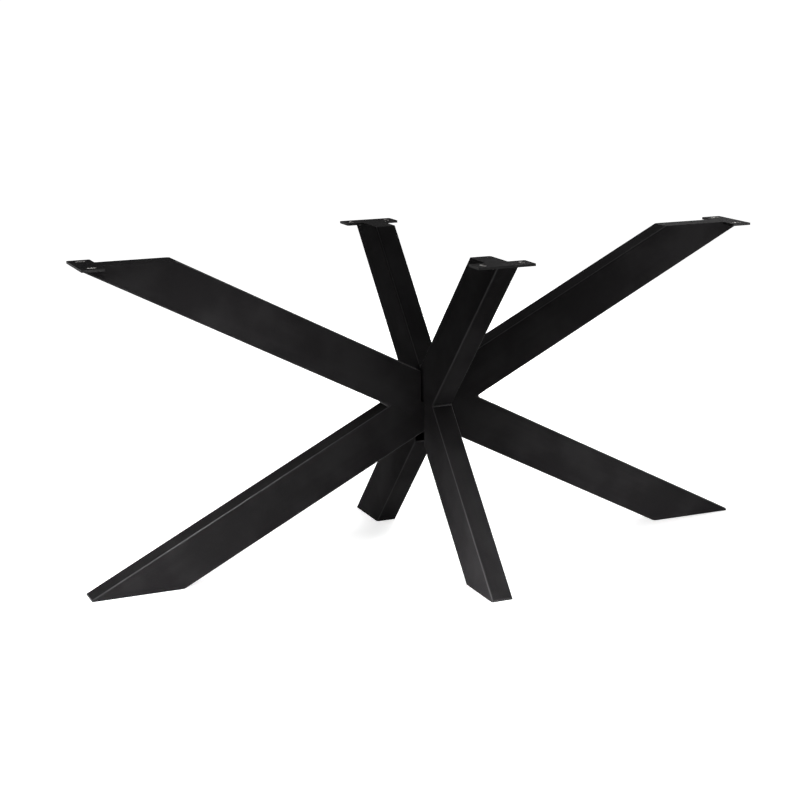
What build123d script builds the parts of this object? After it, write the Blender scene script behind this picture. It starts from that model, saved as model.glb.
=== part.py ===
from build123d import *
import os
from math import asin, atan2, cos, degrees, hypot, radians, sin

# A table base of two crossed frames. Each frame is an X of rectangular steel tube. The long frame stands along X
# and is slotted from above, the short one stands along Y and is slotted from below, and they slide together.
# The origin is on the floor under the crossing.

# Overall sizes
base_length = 1605
base_width = 740
base_height = 720

# Rectangular tube
tube_depth = 100
tube_width = 50
tube_wall = 2.5
tube_corner = 5

# Flat plates welded over the level cuts at the tube ends
end_thickness = 5

# Crossing: play on either side of the other frame, and how far an arm's walls lap over the rounded corners
# of the tube that it is welded to
long_slot_play = 8
short_slot_play = 1
corner_lap = 4

# Mounting plates at the upper tips, with a slotted bolt hole in each wing
mounting_width = 50
mounting_length = 130
mounting_corner = 3
bolt_slot_length = 22
bolt_slot_width = 9
bolt_slot_spacing = 90

crossing = Vector(0, 0, base_height / 2)
floor_level = Plane.XY
foot_cut = Plane.XY.offset(end_thickness)
top_cut = Plane.XY.offset(base_height - end_thickness)
table_level = Plane.XY.offset(base_height)
blank_length = 2 * base_length

# Each frame's own plane, with x along the frame and y upwards
long_frame = Plane(crossing, x_dir=(1, 0, 0), z_dir=(0, -1, 0))
short_frame = Plane(crossing, x_dir=(0, 1, 0), z_dir=(1, 0, 0))


def arm_slope(span):
    """Slope in degrees of tubes through the crossing whose outer faces reach half the span at the end cuts."""
    run = span / 2
    rise = base_height / 2 - end_thickness
    return degrees(atan2(rise, run) + asin(tube_depth / 2 / hypot(run, rise)))


def direction(frame, angle):
    """Unit vector in a frame's plane, at an angle in degrees above its x axis."""
    return frame.x_dir * cos(radians(angle)) + frame.y_dir * sin(radians(angle))


def tube_section(frame, angle):
    """Plane across a tube at the crossing, with x along the tube's width and z along the tube."""
    return Plane(crossing, x_dir=frame.z_dir, z_dir=direction(frame, angle))


def tube_envelope(frame, angle):
    """Solid bar with the tube's outside, passing through the crossing."""
    with BuildPart() as envelope:
        with BuildSketch(tube_section(frame, angle)):
            RectangleRounded(tube_width, tube_depth, tube_corner)
        extrude(amount=blank_length / 2, both=True)
    return envelope.part


def crossing_slot(frame, width, upwards):
    """Block that clears the other frame's tubes from the crossing up, or from the crossing down."""
    with BuildPart() as slot:
        with BuildSketch(Plane(crossing, x_dir=frame.x_dir, z_dir=(0, 0, 1))):
            Rectangle(width, 2 * tube_width)
        extrude(amount=crossing.Z if upwards else -crossing.Z)
    return slot.part


def tube_profile(plane):
    """Hollow section of the tube on a plane."""
    with BuildSketch(plane) as profile:
        RectangleRounded(tube_width, tube_depth, tube_corner)
        RectangleRounded(
            tube_width - 2 * tube_wall,
            tube_depth - 2 * tube_wall,
            tube_corner - tube_wall,
            mode=Mode.SUBTRACT,
        )
    return profile.sketch


def through_tube(frame, slope, slot):
    """Full-length tube of a frame, falling along the frame's x axis, cut level at both ends and slotted."""
    with BuildPart() as tube:
        extrude(tube_profile(tube_section(frame, -slope)), amount=blank_length / 2, both=True)
        split(bisect_by=foot_cut, keep=Keep.TOP)
        split(bisect_by=top_cut, keep=Keep.BOTTOM)
        add(slot, mode=Mode.SUBTRACT)
    return tube.part


def half_arm(frame, slope, slot, upper):
    """Half tube of a frame, rising along its x axis, coped to the through tube's narrow face."""
    along = slope if upper else slope + 180
    outward = direction(frame, 90 - slope if upper else 270 - slope)
    cope_plane = Plane(crossing + outward * (tube_depth / 2 - corner_lap), z_dir=outward)
    with BuildPart() as arm:
        extrude(tube_profile(tube_section(frame, along)), amount=blank_length / 2)
        split(bisect_by=top_cut if upper else foot_cut, keep=Keep.BOTTOM if upper else Keep.TOP)
        split(bisect_by=cope_plane, keep=Keep.TOP)
        add(tube_envelope(frame, -slope), mode=Mode.SUBTRACT)
        add(slot, mode=Mode.SUBTRACT)
    return arm.part


def foot_plate(envelope, frame, span, side):
    """Plate under a foot, ground flush with the tube's faces and blunt at its tip."""
    outward = frame.x_dir * side
    tip = Plane(outward * (span / 2), z_dir=outward)
    with BuildPart() as plate:
        add(envelope)
        split(bisect_by=foot_cut, keep=Keep.BOTTOM)
        split(bisect_by=floor_level, keep=Keep.TOP)
        split(bisect_by=tip, keep=Keep.BOTTOM)
    return plate.part


def top_plate(envelope, frame, span, side):
    """Plate over an upper end, ground flush with the tube's faces, up to the mounting plate."""
    outward = frame.x_dir * side
    mounting_edge = Plane(outward * (span / 2 - mounting_width), z_dir=outward)
    with BuildPart() as plate:
        add(envelope)
        split(bisect_by=top_cut, keep=Keep.TOP)
        split(bisect_by=table_level, keep=Keep.BOTTOM)
        split(bisect_by=mounting_edge, keep=Keep.BOTTOM)
    return plate.part


def mounting_plate(frame, span, side):
    """Cross plate at an upper tip, level with the top plate, its two wings slotted along the frame."""
    middle = frame.x_dir * side * (span / 2 - mounting_width / 2) + top_cut.origin
    with BuildPart() as plate:
        with BuildSketch(Plane(middle, x_dir=frame.x_dir, z_dir=(0, 0, 1))):
            RectangleRounded(mounting_width, mounting_length, mounting_corner)
            with GridLocations(0, bolt_slot_spacing, 1, 2):
                SlotOverall(bolt_slot_length, bolt_slot_width, mode=Mode.SUBTRACT)
        extrude(amount=end_thickness)
    return plate.part


def frame_pieces(name, frame, span, slot, lower_side, upper_side):
    """All pieces of one frame by name. The lower side is at the start of its x axis, the upper side at its end."""
    slope = arm_slope(span)
    falling = tube_envelope(frame, -slope)
    rising = tube_envelope(frame, slope)
    return {
        f"{name}_through_tube": through_tube(frame, slope, slot),
        f"{name}_upper_arm": half_arm(frame, slope, slot, upper=True),
        f"{name}_lower_arm": half_arm(frame, slope, slot, upper=False),
        f"{lower_side}_foot_plate": foot_plate(rising, frame, span, -1),
        f"{upper_side}_foot_plate": foot_plate(falling, frame, span, 1),
        f"{lower_side}_top_plate": top_plate(falling, frame, span, -1),
        f"{upper_side}_top_plate": top_plate(rising, frame, span, 1),
        f"{lower_side}_mounting_plate": mounting_plate(frame, span, -1),
        f"{upper_side}_mounting_plate": mounting_plate(frame, span, 1),
    }


long_slot = crossing_slot(long_frame, tube_width + 2 * long_slot_play, upwards=True)
short_slot = crossing_slot(short_frame, tube_width + 2 * short_slot_play, upwards=False)
pieces = frame_pieces("long", long_frame, base_length, long_slot, "left", "right")
pieces |= frame_pieces("short", short_frame, base_width, short_slot, "front", "back")

os.makedirs("parts", exist_ok=True)
for name, piece in pieces.items():
    piece.label = name
    export_step(piece, f"parts/{name}.step")
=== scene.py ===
"""Black powder coat, weld beads and a pale studio for a table base of two crossed steel frames."""

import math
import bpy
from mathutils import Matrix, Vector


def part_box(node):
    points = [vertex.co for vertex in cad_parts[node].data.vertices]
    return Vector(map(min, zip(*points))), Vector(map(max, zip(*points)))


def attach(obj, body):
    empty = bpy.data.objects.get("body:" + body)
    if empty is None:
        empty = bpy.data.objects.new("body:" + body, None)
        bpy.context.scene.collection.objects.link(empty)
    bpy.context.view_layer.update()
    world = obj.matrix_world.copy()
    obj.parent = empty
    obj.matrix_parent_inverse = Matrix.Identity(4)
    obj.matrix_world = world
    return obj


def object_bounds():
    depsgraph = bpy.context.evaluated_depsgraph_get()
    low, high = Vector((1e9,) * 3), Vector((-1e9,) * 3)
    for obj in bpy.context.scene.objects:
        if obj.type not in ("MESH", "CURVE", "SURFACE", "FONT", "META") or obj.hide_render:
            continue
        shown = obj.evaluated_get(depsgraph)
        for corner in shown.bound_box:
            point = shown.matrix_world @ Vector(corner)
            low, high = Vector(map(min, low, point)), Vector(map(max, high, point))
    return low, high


bl_info = {
    "name": "Interlocking Table Base",
    "version": (1, 0, 0),
    "blender": (4, 5, 0),
    "location": "3D View > Sidebar > Table Base",
    "description": "Powder coat, weld beads and a pale studio for a base of two crossed frames",
    "category": "Object",
}

import bpy
from bpy.props import FloatProperty, FloatVectorProperty, PointerProperty
from mathutils import Matrix, Vector

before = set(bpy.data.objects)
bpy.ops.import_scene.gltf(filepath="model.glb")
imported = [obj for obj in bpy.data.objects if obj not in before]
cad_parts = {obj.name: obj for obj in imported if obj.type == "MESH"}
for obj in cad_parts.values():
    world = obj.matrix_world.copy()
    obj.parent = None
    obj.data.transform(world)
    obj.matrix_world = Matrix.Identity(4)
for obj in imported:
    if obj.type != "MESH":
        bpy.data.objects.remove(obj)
cad_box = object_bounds()

BODY = "root"

# Each tube and the plates that close its ends
LONG_TUBES = {
    "long_through_tube": ("left_top_plate", "right_foot_plate"),
    "long_upper_arm": ("right_top_plate",),
    "long_lower_arm": ("left_foot_plate",),
}
SHORT_TUBES = {
    "short_through_tube": ("front_top_plate", "back_foot_plate"),
    "short_upper_arm": ("back_top_plate",),
    "short_lower_arm": ("front_foot_plate",),
}
LONG_SIDES = ("left", "right")
SHORT_SIDES = ("front", "back")
UP = Vector((0, 0, 1))
WHITE = (1, 1, 1)

# Powder coat. Its noises run from 0 to 1, and a pair is where a smooth step begins and ends.
NOISE_MEAN = 0.5
STREAK_STRETCH = (16, 1, 1)
STREAK_WIDTH = 1 / 8
PATCH_SHARE = 0.85
THIN_COAT = (0.38, 0.64)
FLECK_GRAIN = (0.64, 0.76)
FLECK_STRENGTH = 0.8
PATCH_SWING = 0.14
STREAK_SWING = 0.10
GRAIN_SWING = 0.08
PEEL_SHARE = 0.75

# Wear and a painted highlight on the rounded tube corners: they are paler, most where they face up
# and light falls on them. A normal with one large part belongs to a flat face.
FLAT_FACE = (0.78, 0.94)
FACING_UP = (-0.2, 0.3)
UNDER_WEAR_AND_HIGHLIGHT = 0.35
STREAKED_WEAR_AND_HIGHLIGHT = (0.35, 0.60)
LEAST_WEAR_AND_HIGHLIGHT = 0.6

# Mounting plates: along their edges thin coat and a painted highlight, and wear in their bolt slots
LEVEL_FACE = (0.30, 0.70)
EDGE_POLISH = 0.3
SLOT_WALL = 0.5
SLOT_GRAIN = 0.3
SLOT_WEAR = (0.42, 0.60)

# Mesh of a weld bead, and the share of its radius that is left at its very ends
BEAD_SIDES = 12
RINGS_A_RIPPLE = 4
LEAST_RIPPLES = 3
BEAD_TIP = 0.15

# Softboxes: name, place, aim and size in metres, spread of the beam in degrees, power in watts
SOFTBOXES = (
    ("left_low_softbox", (-1.70, -0.70, 0.20), (0.00, -0.37, 0.00), 0.36, 20, 1.5),
    ("left_softbox", (-1.70, -0.70, 0.80), (-0.62, 0.00, 0.10), 0.50, 42, 1.95),
    ("left_foot_softbox", (-0.75, -1.20, 0.13), (-0.68, 0.00, 0.06), 0.22, 38, 0.50),
    ("left_arm_softbox", (-0.55, -1.25, 0.13), (-0.52, 0.00, 0.60), 0.22, 42, 0.85),
    ("left_ridge_softbox", (-1.20, -2.05, 2.20), (-0.70, 0.00, 0.06), 0.45, 30, 1.2),
    ("right_foot_softbox", (-0.35, -1.20, 0.13), (0.65, 0.00, 0.10), 0.22, 42, 1.7),
    ("right_arm_softbox", (1.30, -1.40, 0.20), (0.74, 0.00, 0.68), 0.36, 36, 0.85),
    ("front_foot_softbox", (0.25, -1.10, 1.70), (0.00, -0.38, 0.02), 0.36, 32, 0.85),
    ("front_bead_softbox", (0.72, -1.42, 0.89), (0.00, -0.09, 0.36), 0.22, 16, 0.03),
    ("front_ridge_softbox", (-0.90, -0.65, 1.77), (0.00, -0.16, 0.27), 0.22, 16, 0.025),
    ("overhead_softbox", (0.90, 0.60, 2.60), (0.00, 0.00, 0.36), 1.20, 180, 24),
    ("back_softbox", (2.18, 2.18, 1.80), (0.00, 0.00, 0.36), 1.50, 180, 40),
    ("back_low_softbox", (1.50, 1.60, 0.25), (0.00, 0.00, 0.36), 0.40, 120, 16),
)

# Floor, in metres: how far it lies under the feet, and over which distance it turns plain white
FLOOR_RADIUS = 150.0
FLOOR_SIDES = 96
FLOOR_DROP = 0.0005
SHADOW_REACH = (0.80, 1.05)
VIEW_REACH = 3 * FLOOR_RADIUS

# Where the white along the horizon ends, as the sine of the angle above it
WHITE_HORIZON = (0.20, 0.24)


class CoatSettings(bpy.types.PropertyGroup):
    """Looks of the powder coat."""

    colour: FloatVectorProperty(
        name="Coat colour",
        description="Colour of the powder coat",
        subtype="COLOR",
        default=(0.0116, 0.0110, 0.0115),
    )
    pale_colour: FloatVectorProperty(
        name="Pale patches",
        description="Colour of the coat where it lies thinner",
        subtype="COLOR",
        default=(0.0178, 0.0171, 0.0177),
    )
    fleck_colour: FloatVectorProperty(
        name="Flecks",
        description="Colour of the fine powder grains that catch the light",
        subtype="COLOR",
        default=(0.030, 0.030, 0.031),
    )
    # Paler colour for thin coat on corners and edges, and also a painted highlight where light
    # falls on them
    corner_wear_and_highlight_colour: FloatVectorProperty(
        name="Corners",
        description="Colour of the thin coat on tube corners and plate edges",
        subtype="COLOR",
        default=(0.0180, 0.0173, 0.0179),
    )
    roughness: FloatProperty(
        name="Roughness",
        description="Mean roughness of the matt coat",
        subtype="FACTOR",
        min=0,
        max=1,
        default=0.65,
    )
    gloss: FloatProperty(
        name="Gloss",
        description="Specular level of the coat",
        subtype="FACTOR",
        min=0,
        max=1,
        default=0.004,
    )
    polish: FloatProperty(
        name="Polish",
        description="Gloss of the corners and weld beads, which are rubbed smooth",
        subtype="FACTOR",
        min=0,
        max=1,
        default=0.80,
    )
    polish_roughness: FloatProperty(
        name="Polish roughness",
        description="Roughness of what is rubbed smooth",
        subtype="FACTOR",
        min=0,
        max=1,
        default=0.28,
    )
    peel_size: FloatProperty(
        name="Orange peel size",
        description="Width of the ripples in the baked coat",
        unit="LENGTH",
        default=0.0022,
    )
    peel_height: FloatProperty(
        name="Orange peel height",
        description="Height of the ripples in the baked coat",
        unit="LENGTH",
        default=0.00003,
    )
    grain_size: FloatProperty(
        name="Powder grain size",
        description="Width of the fine grains on the coat",
        unit="LENGTH",
        default=0.0007,
    )
    patch_size: FloatProperty(
        name="Patch size",
        description="Width of the soft patches in the coat's colour and roughness",
        unit="LENGTH",
        default=0.12,
    )


class SteelSettings(bpy.types.PropertyGroup):
    """Looks of the bare steel that bolts have rubbed in the slots."""

    colour: FloatVectorProperty(
        name="Steel colour",
        description="Colour of the bare steel in the bolt slots",
        subtype="COLOR",
        default=(0.42, 0.41, 0.40),
    )
    roughness: FloatProperty(
        name="Steel roughness",
        description="Roughness of the bare steel",
        subtype="FACTOR",
        min=0,
        max=1,
        default=0.38,
    )


class BeadSettings(bpy.types.PropertyGroup):
    """Sizes of the weld beads."""

    radius: FloatProperty(
        name="Bead radius",
        description="Radius of a bead's round section",
        unit="LENGTH",
        default=0.0022,
    )
    seat: FloatProperty(
        name="Seat",
        description="Share of the radius between a bead's middle and each face it joins",
        subtype="FACTOR",
        min=0,
        max=1,
        default=0.62,
    )
    ripple: FloatProperty(
        name="Ripple pitch",
        description="Distance from one ripple of a bead to the next",
        unit="LENGTH",
        default=0.0020,
    )
    ripple_depth: FloatProperty(
        name="Ripple depth",
        description="Share of the radius by which a bead dips between two ripples",
        subtype="FACTOR",
        min=0,
        max=1,
        default=0.10,
    )
    notch_margin: FloatProperty(
        name="Notch margin",
        description="How far a bead in a notch stops short of the tube's side",
        unit="LENGTH",
        default=0.0016,
    )
    wing_margin: FloatProperty(
        name="Wing margin",
        description="How far a bead under a mounting plate stops short of the plate's edges",
        unit="LENGTH",
        default=0.0118,
    )


class StudioSettings(bpy.types.PropertyGroup):
    """Floor, light and camera."""

    floor_colour: FloatVectorProperty(
        name="Floor colour",
        description="Colour of the pale floor",
        subtype="COLOR",
        default=(0.88, 0.88, 0.88),
    )
    floor_glow: FloatProperty(
        name="Floor white",
        description="Plain white of the floor beside the object, to which the lamps add the rest",
        subtype="FACTOR",
        min=0,
        max=1,
        default=0.70,
    )
    room_level: FloatProperty(
        name="Room level",
        description="Brightness of the room above the horizon",
        default=0.08,
    )
    camera_place: FloatVectorProperty(
        name="Camera place",
        description="Where the camera stands",
        subtype="TRANSLATION",
        unit="LENGTH",
        default=(-1.6287, -3.4550, 1.3018),
    )
    camera_turn: FloatProperty(
        name="Camera turn",
        description="Turn of the camera about the upright, from looking along the short frame",
        unit="ROTATION",
        default=math.radians(-23.045),
    )
    camera_dip: FloatProperty(
        name="Camera dip",
        description="How far the camera looks down",
        unit="ROTATION",
        default=math.radians(14.718),
    )
    camera_roll: FloatProperty(
        name="Camera roll",
        description="Turn of the picture about the line of sight",
        unit="ROTATION",
        default=math.radians(-0.267),
    )
    camera_lens: FloatProperty(
        name="Lens",
        description="Focal length on a 36 mm sensor",
        unit="CAMERA",
        default=78.13,
    )
    camera_shift: FloatVectorProperty(
        name="Lens shift",
        description="Shift of the picture, in picture widths",
        size=2,
        default=(0.04375, 0.03125),
    )


class Socket:
    """Output of a shader node. Arithmetic on it adds Math nodes to the same tree."""

    def __init__(self, shader, link):
        self.shader = shader
        self.link = link

    def math(self, operation, *values):
        """Math node on values and links."""
        return self.shader.node("Math", {"operation": operation}, dict(enumerate(values)))

    def __add__(self, other):
        return self.math("ADD", self, other)

    def __radd__(self, other):
        return self.math("ADD", other, self)

    def __sub__(self, other):
        return self.math("SUBTRACT", self, other)

    def __rsub__(self, other):
        return self.math("SUBTRACT", other, self)

    def __mul__(self, other):
        return self.math("MULTIPLY", self, other)

    def __rmul__(self, other):
        return self.math("MULTIPLY", other, self)

    def __lt__(self, other):
        return self.math("LESS_THAN", self, other)

    def __abs__(self):
        return self.math("ABSOLUTE", self)

    def most(self, other):
        """The larger of two values."""
        return self.math("MAXIMUM", self, other)

    def part(self, axis):
        """X, Y or Z of a vector."""
        return self.shader.node("SeparateXYZ", inputs={"Vector": self}, output=axis)


class Shader:
    """Node tree of a material or a world, built from an empty tree."""

    def __init__(self, owner):
        owner.use_nodes = True
        self.tree = owner.node_tree
        self.tree.nodes.clear()

    def node(self, kind, settings=None, inputs=None, output=None):
        """Add a node, set it, fill its sockets with values or links, and return an output."""
        node = self.tree.nodes.new("ShaderNode" + kind)
        for name, value in (settings or {}).items():
            setattr(node, name, value)
        for name, value in (inputs or {}).items():
            socket = self.find(node.inputs, name)
            if isinstance(value, Socket):
                self.tree.links.new(value.link, socket)
            else:
                socket.default_value = value
        return Socket(self, self.find(node.outputs, output or 0)) if node.outputs else None

    @staticmethod
    def find(sockets, name):
        """The socket at a place in the row, or the enabled one of that name."""
        if isinstance(name, int):
            return [socket for socket in sockets if socket.enabled][name]
        return next(socket for socket in sockets if socket.enabled and socket.name == name)

    def turned(self, vector, turn, stretch=(1, 1, 1)):
        """A place or direction as seen along a turned piece, with a pattern on it stretched."""
        inputs = {"Vector": vector, "Rotation": turn, "Scale": stretch}
        return self.node("Mapping", {"vector_type": "TEXTURE"}, inputs)

    def noise(self, place, size, detail, roughness=0.5):
        """Soft noise from 0 to 1, with features of about the given size."""
        inputs = {"Vector": place, "Scale": 1 / size, "Detail": detail, "Roughness": roughness}
        return self.node("TexNoise", {"normalize": True}, inputs)

    def ramp(self, value, low, high):
        """Smooth step from 0 to 1 as a value goes from low to high."""
        inputs = {"Value": value, "From Min": low, "From Max": high}
        return self.node("MapRange", {"interpolation_type": "SMOOTHSTEP"}, inputs)

    def mix(self, factor, first, second):
        """Blend of two colours."""
        settings = {"data_type": "RGBA", "clamp_factor": True}
        return self.node("Mix", settings, {"Factor": factor, "A": first, "B": second})


def colour(values):
    """Colour of a socket, with full alpha."""
    return (*values, 1.0)


def frame_slope(side):
    """Slope of a frame's tubes and the length of their level cut, from one of its foot plates."""
    low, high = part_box(f"{side}_foot_plate")
    axis = 0 if side in LONG_SIDES else 1
    reach = abs(low[axis] + high[axis]) / 2
    return math.atan2(crossing_height() - high.z, reach), high[axis] - low[axis]


def frame_axes(sides):
    """Level directions along a frame and across it."""
    run = Vector((1, 0, 0)) if sides == LONG_SIDES else Vector((0, 1, 0))
    return run, Vector((run.y, run.x, 0))


def crossing_height():
    """Height at which the tubes of a frame cross."""
    low, high = cad_box
    return (low.z + high.z) / 2


def powder_coat(name, turn=None, slots=None, polish=0.0):
    """Matt black powder coat. A turn fits it to a tube's corners, and slots to mounting plates."""
    coat = bpy.context.scene.table_base_coat
    steel = bpy.context.scene.table_base_steel
    material = bpy.data.materials.new(name)
    shader = Shader(material)
    place = shader.node("TexCoord", output="Object")
    along = shader.turned(place, turn or (0, 0, 0), STREAK_STRETCH)

    patches = shader.noise(place, coat.patch_size, detail=3)
    streaks = shader.noise(along, coat.patch_size * STREAK_WIDTH, detail=4, roughness=0.6)
    peel = shader.noise(place, coat.peel_size, detail=1)
    grain = shader.noise(place, coat.grain_size, detail=1)

    thin = shader.ramp(PATCH_SHARE * patches + (1 - PATCH_SHARE) * streaks, *THIN_COAT)
    fleck = shader.ramp(grain, *FLECK_GRAIN) * FLECK_STRENGTH
    base = shader.mix(thin, colour(coat.colour), colour(coat.pale_colour))
    base = shader.mix(fleck, base, colour(coat.fleck_colour))
    roughness = coat.roughness
    for noise, swing in ((patches, PATCH_SWING), (streaks, STREAK_SWING), (grain, GRAIN_SWING)):
        roughness = roughness + swing * (noise - NOISE_MEAN)
    surface = {
        "Base Color": base,
        "Roughness": roughness,
        "Specular IOR Level": coat.gloss,
        "Coat Weight": polish,
        "Coat Roughness": coat.polish_roughness,
    }

    if turn:
        # Paler corners: thin coat and wear, plus a painted highlight that is strongest on the upper
        # corners
        streaked = LEAST_WEAR_AND_HIGHLIGHT + (1 - LEAST_WEAR_AND_HIGHLIGHT) * shader.ramp(streaks, *STREAKED_WEAR_AND_HIGHLIGHT)
        rubbed = rounded_corner(shader, turn) * streaked
        surface["Base Color"] = shader.mix(rubbed, base, colour(coat.corner_wear_and_highlight_colour))
        surface["Coat Weight"] = coat.polish * rubbed
    if slots:
        # Upright plate edges are paler: thin coat and a painted highlight
        edge = plate_edge(shader)
        worn_and_lit = shader.mix(edge, base, colour(coat.corner_wear_and_highlight_colour))
        streaked = shader.ramp(streaks + SLOT_GRAIN * grain, *SLOT_WEAR)
        bare = rubbed_slots(shader, place, *slots) * streaked
        surface["Base Color"] = shader.mix(bare, worn_and_lit, colour(steel.colour))
        surface["Coat Weight"] = EDGE_POLISH * coat.polish * edge
        surface["Roughness"] = roughness + bare * (steel.roughness - coat.roughness)
        surface["Metallic"] = bare

    relief = PEEL_SHARE * peel + (1 - PEEL_SHARE) * grain
    bump = {"Height": relief, "Distance": coat.peel_height, "Strength": 1.0}
    surface["Normal"] = shader.node("Bump", inputs=bump)
    finish = shader.node("BsdfPrincipled", inputs=surface)
    shader.node("OutputMaterial", inputs={"Surface": finish})
    return material


def rounded_corner(shader, turn):
    """1 along a tube's rounded upper corners, less under it, 0 on its flat faces and level cuts.
    The upper corners weigh more, as a painted highlight where light falls on them.
    """
    normal = shader.node("TexCoord", output="Normal")
    turned = shader.turned(normal, turn)
    flat = abs(turned.part("Y")).most(abs(turned.part("Z"))).most(abs(normal.part("Z")))
    upper = UNDER_WEAR_AND_HIGHLIGHT + (1 - UNDER_WEAR_AND_HIGHLIGHT) * shader.ramp(normal.part("Z"), *FACING_UP)
    return (1 - shader.ramp(flat, *FLAT_FACE)) * upper


def plate_edge(shader):
    """1 on the upright edges of a plate, 0 on its level faces."""
    normal = shader.node("TexCoord", output="Normal")
    return 1 - shader.ramp(abs(normal.part("Z")), *LEVEL_FACE)


def rubbed_slots(shader, place, axis, middle, reach):
    """1 on the walls of the bolt slots of a frame's mounting plates, 0 elsewhere."""
    along_slot = abs(abs(place.part("XY"[axis])) - middle[0])
    across_slot = abs(abs(place.part("YX"[axis])) - middle[1])
    wall = abs(shader.node("NewGeometry", output="Normal").part("Z")) < SLOT_WALL
    return wall * (along_slot < reach[0]) * (across_slot < reach[1])


def paint(nodes, material):
    """Give a material to CAD nodes in place of the plain one that they came with."""
    for name in nodes:
        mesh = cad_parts[name].data
        mesh.materials.clear()
        mesh.materials.append(material)


def model_bead(length, material):
    """Rippled weld bead along Z, with its middle at the origin."""
    bead_size = bpy.context.scene.table_base_bead
    radius = bead_size.radius
    rings = RINGS_A_RIPPLE * max(LEAST_RIPPLES, round(length / bead_size.ripple))
    step = length / rings
    start = -length / 2

    def ring_radius(ring):
        """Radius of a ring: full between the rounded ends, and less between two ripples."""
        from_end = min(ring, rings - ring) * step
        end_round = math.sqrt(1 - (1 - min(1, from_end / radius)) ** 2)
        ripple = (1 + math.cos(2 * math.pi * ring / RINGS_A_RIPPLE)) / 2
        return radius * max(BEAD_TIP, end_round) * (1 - bead_size.ripple_depth * ripple)

    bpy.ops.object.select_all(action="DESELECT")
    bpy.ops.mesh.primitive_circle_add(
        vertices=BEAD_SIDES, radius=ring_radius(0), fill_type="NGON", location=(0, 0, start)
    )
    bead = bpy.context.object
    bpy.ops.object.mode_set(mode="EDIT")
    for ring in range(1, rings + 1):
        bpy.ops.mesh.extrude_region_move(TRANSFORM_OT_translate={"value": (0, 0, step)})
        change = ring_radius(ring) / ring_radius(ring - 1)
        bpy.ops.transform.resize(value=(change,) * 3, center_override=(0, 0, start + step * ring))
    bpy.ops.mesh.select_all(action="SELECT")
    bpy.ops.mesh.normals_make_consistent(inside=False)
    bpy.ops.object.mode_set(mode="OBJECT")
    bpy.ops.object.transform_apply(location=True, rotation=True, scale=True)
    smooth = bead.modifiers.new("Smooth", "SUBSURF")
    smooth.levels = smooth.render_levels = 1
    bpy.ops.object.modifier_apply(modifier=smooth.name)
    bpy.ops.object.shade_smooth()
    bead.data.materials.append(material)
    return bead


def lay_bead(bead, name, corner, line, faces):
    """Turn a bead to a line and seat it in the inside corner of two faces with these normals."""
    bead_size = bpy.context.scene.table_base_bead
    opening = faces[0] + faces[1]
    stand = bead_size.radius * bead_size.seat / (1 + faces[0].dot(faces[1]))
    bead.name = bead.data.name = name
    bead.rotation_euler = line.to_track_quat("Z", "Y").to_euler()
    bead.location = corner + opening * stand
    bpy.ops.object.select_all(action="DESELECT")
    bead.select_set(True)
    bpy.context.view_layer.objects.active = bead
    bpy.ops.object.transform_apply(location=True, rotation=True, scale=True)
    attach(bead, BODY)


def weld(seams, length, material):
    """Lay a bead and its copies in seams, each with a name, a corner, a line and two faces."""
    beads = [model_bead(length, material)]
    while len(beads) < len(seams):
        bpy.ops.object.duplicate(linked=False)
        beads.append(bpy.context.object)
    for bead, seam in zip(beads, seams):
        lay_bead(bead, *seam)


class TABLE_BASE_OT_coat_tubes(bpy.types.Operator):
    """Powder coat on the tubes, with faint streaks along each tube, and corners paler from wear and
    a painted highlight
    """

    bl_idname = "table_base.coat_tubes"
    bl_label = "Coat Tubes"

    def execute(self, context):
        long_frame = (LONG_SIDES, LONG_TUBES, 0.0)
        short_frame = (SHORT_SIDES, SHORT_TUBES, math.pi / 2)
        for sides, tubes, heading in (long_frame, short_frame):
            slope, _ = frame_slope(sides[0])
            for tube in tubes:
                fall = slope if "through" in tube else -slope
                turn = Matrix.Rotation(heading, 3, "Z") @ Matrix.Rotation(fall, 3, "Y")
                paint([tube], powder_coat(f"{tube}_coat", turn.to_euler()))
        return {"FINISHED"}


class TABLE_BASE_OT_coat_end_plates(bpy.types.Operator):
    """Powder coat on the plates that close the feet and upper ends, the same as on their tubes"""

    bl_idname = "table_base.coat_end_plates"
    bl_label = "Coat End Plates"

    def execute(self, context):
        for tube, plates in (LONG_TUBES | SHORT_TUBES).items():
            paint(plates, bpy.data.materials[f"{tube}_coat"])
        return {"FINISHED"}


class TABLE_BASE_OT_coat_mounting_plates(bpy.types.Operator):
    """Powder coat on the mounting plates, paler on their edges from thin coat and a painted
    highlight, and rubbed to steel in their slots
    """

    bl_idname = "table_base.coat_mounting_plates"
    bl_label = "Coat Mounting Plates"

    slot_spacing: FloatProperty(
        name="Slot spacing",
        description="Distance between the two slots of a plate",
        unit="LENGTH",
        default=0.090,
    )
    slot_reach: FloatVectorProperty(
        name="Slot reach",
        description="Half length and half width of the patch that holds a slot",
        size=2,
        default=(0.0125, 0.0065),
    )

    def execute(self, context):
        for axis, sides in enumerate((LONG_SIDES, SHORT_SIDES)):
            low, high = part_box(f"{sides[1]}_mounting_plate")
            middle = ((low[axis] + high[axis]) / 2, self.slot_spacing / 2)
            slots = (axis, middle, self.slot_reach)
            coat = powder_coat(f"{sides[0]}_{sides[1]}_mounting_coat", slots=slots)
            paint([f"{side}_mounting_plate" for side in sides], coat)
        return {"FINISHED"}


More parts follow.
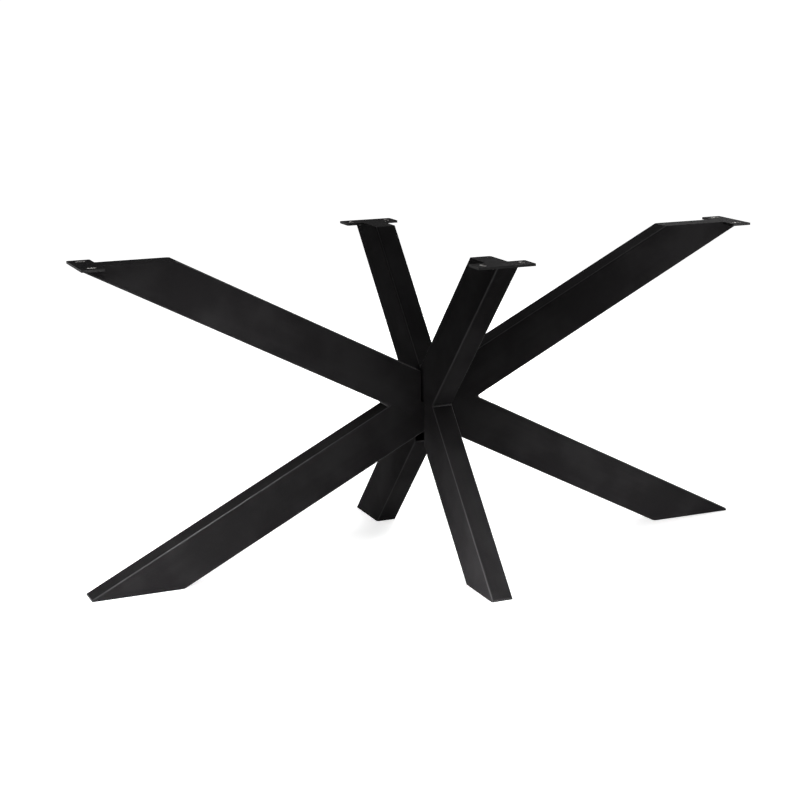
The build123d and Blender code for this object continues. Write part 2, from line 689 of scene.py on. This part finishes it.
class TABLE_BASE_OT_weld_notches(bpy.types.Operator):
    """Weld beads across the notches where the half tubes meet the through tube of their frame"""

    bl_idname = "table_base.weld_notches"
    bl_label = "Weld Notches"

    def execute(self, context):
        coat = powder_coat("notch_bead_coat", polish=context.scene.table_base_coat.polish)
        crossing = UP * crossing_height()
        seams = []
        for sides, upright, up in ((LONG_SIDES, "bottom", -1), (SHORT_SIDES, "top", 1)):
            slope, cut = frame_slope(sides[0])
            run, across = frame_axes(sides)
            lean, rise = run * math.sin(slope), UP * math.cos(slope)
            for side, out in zip(sides, (-1, 1)):
                corner = crossing + run * (out * cut / 2)
                faces = (lean * out - rise, lean * out + rise)
                seams.append((f"{side}_notch_bead", corner, across, faces))
            corner = crossing + UP * (up * cut / 2 * math.tan(slope))
            faces = (rise * up - lean, rise * up + lean)
            seams.append((f"{upright}_notch_bead", corner, across, faces))
        low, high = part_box("left_foot_plate")
        weld(seams, high.y - low.y - 2 * context.scene.table_base_bead.notch_margin, coat)
        return {"FINISHED"}


class TABLE_BASE_OT_weld_wings(bpy.types.Operator):
    """Weld beads under the wings of the mounting plates, along the sides of the tubes"""

    bl_idname = "table_base.weld_wings"
    bl_label = "Weld Wings"

    def execute(self, context):
        coat = powder_coat("wing_bead_coat", polish=context.scene.table_base_coat.polish)
        seams = []
        for sides, hands in ((LONG_SIDES, SHORT_SIDES), (SHORT_SIDES, LONG_SIDES)):
            run, across = frame_axes(sides)
            for side in sides:
                low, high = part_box(f"{side}_mounting_plate")
                under = (low + high) / 2
                under.z = low.z
                for hand, tube_edge in zip(hands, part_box(f"{side}_foot_plate")):
                    offset = across * tube_edge.dot(across)
                    faces = (offset.normalized(), -UP)
                    seams.append((f"{side}_{hand}_wing_bead", under + offset, run, faces))
        low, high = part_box("left_mounting_plate")
        weld(seams, high.x - low.x - 2 * context.scene.table_base_bead.wing_margin, coat)
        return {"FINISHED"}


class TABLE_BASE_OT_set_stage(bpy.types.Operator):
    """Pale floor, soft studio light and the camera"""

    bl_idname = "table_base.set_stage"
    bl_label = "Set Stage"

    def execute(self, context):
        studio = context.scene.table_base_studio
        lay_floor(studio)
        light_room(context.scene, studio)
        for softbox in SOFTBOXES:
            hang_softbox(*softbox)
        place_camera(context.scene, studio)
        context.scene.view_settings.view_transform = "Standard"
        return {"FINISHED"}


def white_rays(shader):
    """1 for the rays that should meet a white background, 0 for those that only carry light."""
    kinds = ("Camera", "Glossy", "Transmission")
    seen, mirrored, passed = (shader.node("LightPath", output=f"Is {kind} Ray") for kind in kinds)
    return seen.most(mirrored).most(passed)


def lay_floor(studio):
    """Pale disc under the object, which takes its shadow close by and is plain white far out."""
    level = cad_box[0].z - FLOOR_DROP
    bpy.ops.object.select_all(action="DESELECT")
    bpy.ops.mesh.primitive_circle_add(
        vertices=FLOOR_SIDES, radius=FLOOR_RADIUS, fill_type="NGON", location=(0, 0, level)
    )
    floor = bpy.context.object
    floor.name = "studio_floor"
    bpy.ops.object.transform_apply(location=True)
    material = bpy.data.materials.new("studio_floor")
    shader = Shader(material)
    place = shader.node("TexCoord", output="Object")
    reach = shader.node("VectorMath", {"operation": "LENGTH"}, {0: place}, "Value")
    far = shader.ramp(reach, *SHADOW_REACH)
    white = (studio.floor_glow + (1 - studio.floor_glow) * far) * white_rays(shader)
    matt = shader.node("BsdfDiffuse", inputs={"Color": colour(studio.floor_colour)})
    glow = shader.node("MixShader", inputs={0: white, 2: shader.node("Emission")})
    surface = shader.node("AddShader", inputs={0: matt, 1: glow})
    shader.node("OutputMaterial", inputs={"Surface": surface})
    floor.data.materials.append(material)


def light_room(scene, studio):
    """Dim plain room, with white along the horizon where the camera or a shiny surface sees it."""
    scene.world = bpy.data.worlds.new("studio_room")
    shader = Shader(scene.world)
    heading = shader.node("TexCoord", output="Generated")
    low = 1 - shader.ramp(heading.part("Z"), *WHITE_HORIZON)
    level = studio.room_level + (1 - studio.room_level) * low * white_rays(shader)
    room = shader.node("Background", inputs={"Color": colour(WHITE), "Strength": level})
    shader.node("OutputWorld", inputs={"Surface": room})


def hang_softbox(name, place, aim, size, spread, power):
    """Square area light that looks at a point of the object. A narrow spread is a grid in front."""
    light = bpy.data.lights.new(name, "AREA")
    light.shape = "SQUARE"
    light.size = size
    light.spread = math.radians(spread)
    light.energy = power
    softbox = bpy.data.objects.new(name, light)
    softbox.location = place
    softbox.rotation_euler = (Vector(place) - Vector(aim)).to_track_quat("Z", "Y").to_euler()
    softbox.visible_camera = False
    bpy.context.scene.collection.objects.link(softbox)


def place_camera(scene, studio):
    """Camera at the photograph's angle."""
    lens = bpy.data.cameras.new("studio_camera")
    lens.lens = studio.camera_lens
    lens.shift_x, lens.shift_y = studio.camera_shift
    lens.clip_end = VIEW_REACH
    camera = bpy.data.objects.new("studio_camera", lens)
    turn = Matrix.Rotation(studio.camera_turn, 4, "Z")
    dip = Matrix.Rotation(math.pi / 2 - studio.camera_dip, 4, "X")
    roll = Matrix.Rotation(studio.camera_roll, 4, "Z")
    camera.matrix_world = Matrix.Translation(studio.camera_place) @ turn @ dip @ roll
    scene.collection.objects.link(camera)
    scene.camera = camera


class TABLE_BASE_PT_sidebar(bpy.types.Panel):
    """Steps that dress the table base"""

    bl_idname = "TABLE_BASE_PT_sidebar"
    bl_label = "Table Base"
    bl_space_type = "VIEW_3D"
    bl_region_type = "UI"
    bl_category = "Table Base"

    def draw(self, context):
        for operator in OPERATORS:
            self.layout.operator(operator.bl_idname)
        for group, settings in SETTINGS.items():
            box = self.layout.box()
            for name in settings.__annotations__:
                box.prop(getattr(context.scene, group), name)


OPERATORS = (
    TABLE_BASE_OT_coat_tubes,
    TABLE_BASE_OT_coat_end_plates,
    TABLE_BASE_OT_coat_mounting_plates,
    TABLE_BASE_OT_weld_notches,
    TABLE_BASE_OT_weld_wings,
    TABLE_BASE_OT_set_stage,
)
SETTINGS = {
    "table_base_coat": CoatSettings,
    "table_base_steel": SteelSettings,
    "table_base_bead": BeadSettings,
    "table_base_studio": StudioSettings,
}


def register():
    """Make the settings, the steps and the panel known to Blender."""
    for group, settings in SETTINGS.items():
        bpy.utils.register_class(settings)
        setattr(bpy.types.Scene, group, PointerProperty(type=settings))
    for operator in OPERATORS:
        bpy.utils.register_class(operator)
    bpy.utils.register_class(TABLE_BASE_PT_sidebar)


def unregister():
    """Take the panel, the steps and the settings away again."""
    bpy.utils.unregister_class(TABLE_BASE_PT_sidebar)
    for operator in reversed(OPERATORS):
        bpy.utils.unregister_class(operator)
    for group, settings in reversed(SETTINGS.items()):
        delattr(bpy.types.Scene, group)
        bpy.utils.unregister_class(settings)


def main():
    """Dress the frame step by step."""
    register()
    bpy.ops.table_base.coat_tubes()
    bpy.ops.table_base.coat_end_plates()
    bpy.ops.table_base.coat_mounting_plates()
    bpy.ops.table_base.weld_notches()
    bpy.ops.table_base.weld_wings()
    bpy.ops.table_base.set_stage()


if __name__ == "__main__":
    main()
